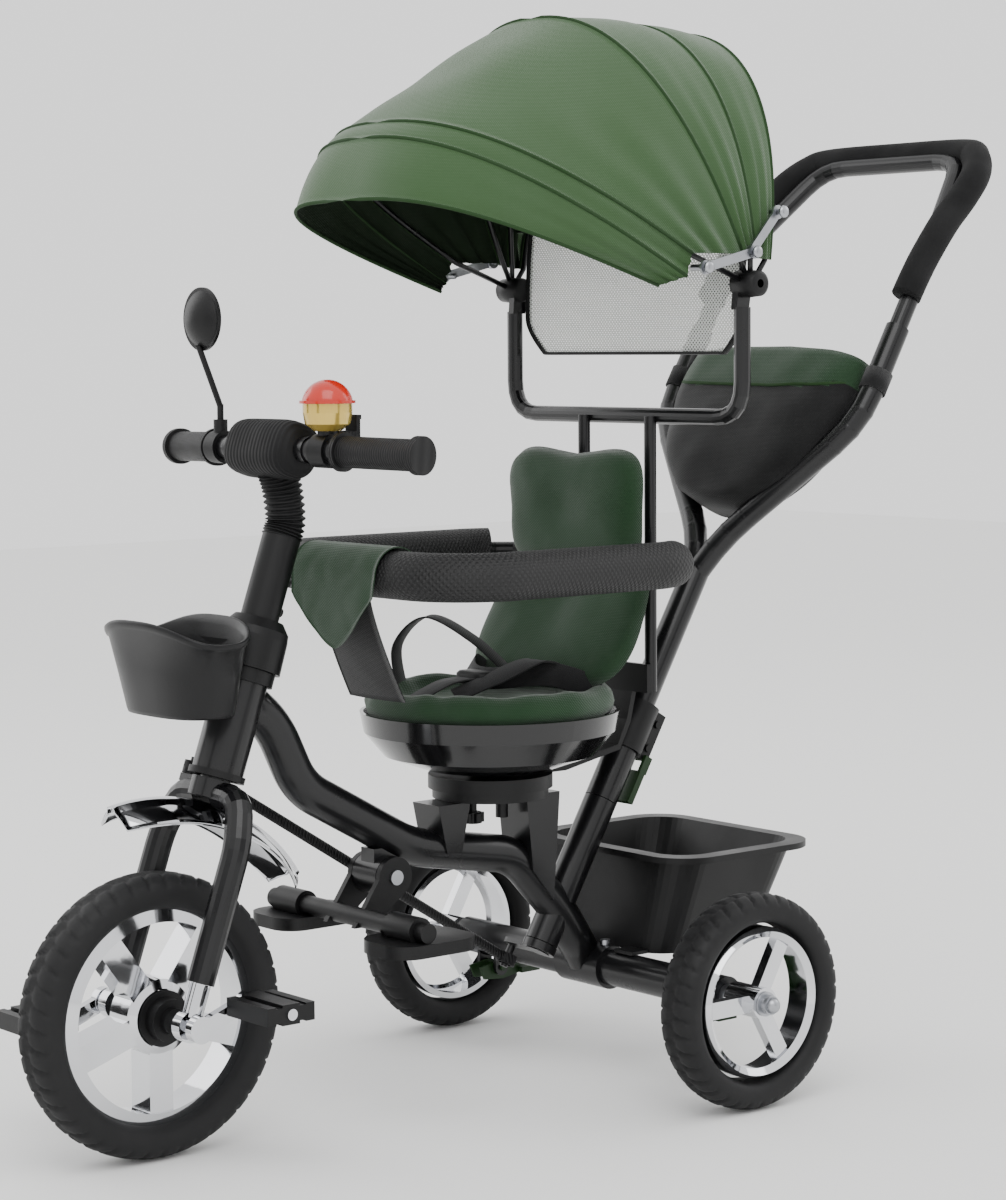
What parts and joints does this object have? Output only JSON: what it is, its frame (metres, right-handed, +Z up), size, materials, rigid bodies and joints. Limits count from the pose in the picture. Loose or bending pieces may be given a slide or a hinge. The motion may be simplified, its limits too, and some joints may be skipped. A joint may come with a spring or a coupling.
{
  "type": "children's tricycle",
  "caption": "Parent-steered children's tricycle with swivel seat, guard ring, folding canopy, push handle, foot brakes and two baskets",
  "frame": {"origin": "on the floor, midway between the rear wheels, under the rear axle", "axes": "+Z up, -Y the way it drives, +X the rider's left, rear axle along X"},
  "size_m": [0.5268, 1.0909, 1.0353],
  "materials": {
    "frame_paint": "satin black powder coat",
    "bare_steel": "zinc-plated steel",
    "black_plastic": "moulded, fine grain",
    "green_plastic": "moulded, fine grain",
    "chrome_plastic": "plated bright",
    "black_rubber": "matt ribbed",
    "foam": "closed-cell foam",
    "bell_gold": "glossy",
    "bell_red": "glossy",
    "mirror": "polished",
    "tyre": "moulded tread",
    "green_cloth": "woven polyester",
    "shell_plastic": "glossy",
    "webbing": "woven webbing"
  },
  "bodies": {
    "frame": {"main_frame": "frame_paint", "rear_axle_beam": "frame_paint", "rear_axle_rod": "bare_steel", "fasteners": "bare_steel", "head_set": "black_plastic", "swivel_base": "black_plastic", "rear_basket": "black_plastic", "front_basket": "black_plastic", "basket_bracket": "black_plastic"},
    "lock_knob": {"lock_knob": "black_plastic"},
    "left_brake": {"left_brake": "green_plastic"},
    "right_brake": {"right_brake": "green_plastic"},
    "fork": {"fork": "frame_paint", "fork_ends": "chrome_plastic", "mudguard": "chrome_plastic", "stem": "black_plastic", "stem_bellows": "black_rubber", "handlebar": "bare_steel", "bar_cover": "foam", "hand_grips": "black_rubber", "bar_clamps": "black_plastic", "bell_bowl": "bell_gold", "bell_dome": "bell_red"},
    "bell_lever": {"bell_lever": "black_rubber"},
    "mirror": {"mirror_body": "black_plastic", "mirror_glass": "mirror"},
    "front_wheel": {"front_tyre": "tyre", "front_rim": "chrome_plastic", "front_hub": "black_plastic", "crank": "chrome_plastic"},
    "left_pedal": {"left_pedal": "black_plastic"},
    "right_pedal": {"right_pedal": "black_plastic"},
    "left_wheel": {"left_rear_tyre": "tyre", "left_rear_rim": "chrome_plastic"},
    "right_wheel": {"right_rear_tyre": "tyre", "right_rear_rim": "chrome_plastic"},
    "footrest": {"footrest_arm": "black_plastic", "footrest_plates": "black_plastic"},
    "steering_link": {"steering_link": "black_rubber"},
    "push_shaft": {"push_shaft": "frame_paint", "push_handle": "frame_paint", "handle_clamp": "black_plastic", "storage_bag": "green_cloth"},
    "clamp_lever": {"clamp_lever": "green_plastic"},
    "handle_loop": {"handle_loop": "frame_paint", "handle_foam": "foam"},
    "seat": {"seat_bracket": "black_plastic", "seat_shell": "shell_plastic", "seat_pad": "green_cloth", "armrest_tube": "frame_paint", "armrest_foam": "foam", "guard_pad": "green_cloth", "harness": "webbing", "canopy_frame": "frame_paint", "rear_bow": "green_cloth"},
    "middle_bow": {"middle_bow": "green_cloth"},
    "ridge_bow": {"ridge_bow": "green_cloth"},
    "front_bow": {"front_bow": "green_cloth"},
    "rear_stays": {"rear_stays": "bare_steel"},
    "front_stays": {"front_stays": "bare_steel"}
  },
  "joints": [
    {"name": "steering", "type": "hinge", "parent": "frame", "child": "fork", "pos_m": [0, -0.515, 0.127], "axis": [0, 0.3338, 0.9426], "range_deg": [-30, 30]},
    {"name": "front_wheel_spin", "type": "hinge", "parent": "fork", "child": "front_wheel", "pos_m": [0, -0.515, 0.127], "axis": [1, 0, 0], "continuous": true},
    {"name": "left_pedal_spin", "type": "hinge", "parent": "front_wheel", "child": "left_pedal", "pos_m": [0.1144, -0.46614, 0.14478], "axis": [1, 0, 0], "continuous": true},
    {"name": "right_pedal_spin", "type": "hinge", "parent": "front_wheel", "child": "right_pedal", "pos_m": [-0.1144, -0.56386, 0.10922], "axis": [1, 0, 0], "continuous": true},
    {"name": "left_wheel_spin", "type": "hinge", "parent": "frame", "child": "left_wheel", "pos_m": [0.2265, 0, 0.1015], "axis": [1, 0, 0], "continuous": true},
    {"name": "right_wheel_spin", "type": "hinge", "parent": "frame", "child": "right_wheel", "pos_m": [-0.2265, 0, 0.1015], "axis": [1, 0, 0], "continuous": true},
    {"name": "left_brake_press", "type": "hinge", "parent": "frame", "child": "left_brake", "pos_m": [0.147, -0.006, 0.076], "axis": [-1, 0, 0], "range_deg": [0, 18]},
    {"name": "right_brake_press", "type": "hinge", "parent": "frame", "child": "right_brake", "pos_m": [-0.147, -0.006, 0.076], "axis": [-1, 0, 0], "range_deg": [0, 18]},
    {"name": "footrest_fold", "type": "hinge", "parent": "frame", "child": "footrest", "pos_m": [0, -0.261, 0.222], "axis": [1, 0, 0], "range_deg": [0, 75]},
    {"name": "link_swing", "type": "hinge", "parent": "fork", "child": "steering_link", "pos_m": [-0.039, -0.44103, 0.33589], "axis": [0, 0.3338, 0.9426], "range_deg": [-30, 30]},
    {"name": "push_turn", "type": "hinge", "parent": "frame", "child": "push_shaft", "pos_m": [0, -0.041, 0.17], "axis": [0, 0.5075, 0.8616], "range_deg": [-30, 30]},
    {"name": "handle_height", "type": "slide", "parent": "push_shaft", "child": "handle_loop", "axis": [0, 0.5075, 0.8616], "range_m": [0, 0.05]},
    {"name": "clamp_lever_open", "type": "hinge", "parent": "push_shaft", "child": "clamp_lever", "pos_m": [0, 0.06555, 0.29966], "axis": [1, 0, 0], "range_deg": [0, 100]},
    {"name": "seat_turn", "type": "hinge", "parent": "frame", "child": "seat", "pos_m": [0, -0.113, 0.3], "axis": [0, 0, 1], "range_deg": [0, 180]},
    {"name": "knob_turn", "type": "hinge", "parent": "frame", "child": "lock_knob", "pos_m": [0, -0.149, 0.27], "axis": [0, 0, 1], "continuous": true},
    {"name": "canopy_fold", "type": "hinge", "parent": "ridge_bow", "child": "front_bow", "pos_m": [0, 0.05, 0.77], "axis": [-1, 0, 0], "range_deg": [0, 30]},
    {"name": "ridge_fold", "type": "hinge", "parent": "middle_bow", "child": "ridge_bow", "pos_m": [0, 0.05, 0.77], "axis": [-1, 0, 0], "range_deg": [0, 13]},
    {"name": "middle_fold", "type": "hinge", "parent": "seat", "child": "middle_bow", "pos_m": [0, 0.05, 0.77], "axis": [-1, 0, 0], "range_deg": [0, 13]},
    {"name": "rear_stay_swing", "type": "hinge", "parent": "seat", "child": "rear_stays", "pos_m": [0, 0.07105, 0.83676], "axis": [1, 0, 0], "range_deg": [0, 28]},
    {"name": "front_stay_swing", "type": "hinge", "parent": "front_bow", "child": "front_stays", "pos_m": [0, -0.025, 0.784], "axis": [-1, 0, 0], "range_deg": [0, 10]},
    {"name": "bell_ring", "type": "hinge", "parent": "fork", "child": "bell_lever", "pos_m": [0.076, -0.35225, 0.63663], "axis": [-1, 0, 0], "range_deg": [0, 20], "stiffness_Nm_per_rad": 0.05},
    {"name": "mirror_turn", "type": "hinge", "parent": "fork", "child": "mirror", "pos_m": [-0.085, -0.37486, 0.62159], "axis": [0, 0, 1], "range_deg": [-45, 45]}
  ],
  "couplings": [
    {"joint": "link_swing", "follows": "steering", "ratio": -1},
    {"joint": "push_turn", "follows": "steering", "ratio": 1},
    {"joint": "ridge_fold", "follows": "canopy_fold", "ratio": 0.43333},
    {"joint": "middle_fold", "follows": "canopy_fold", "ratio": 0.43333},
    {"joint": "rear_stay_swing", "follows": "canopy_fold", "ratio": 0.93333},
    {"joint": "front_stay_swing", "follows": "canopy_fold", "ratio": 0.33}
  ]
}
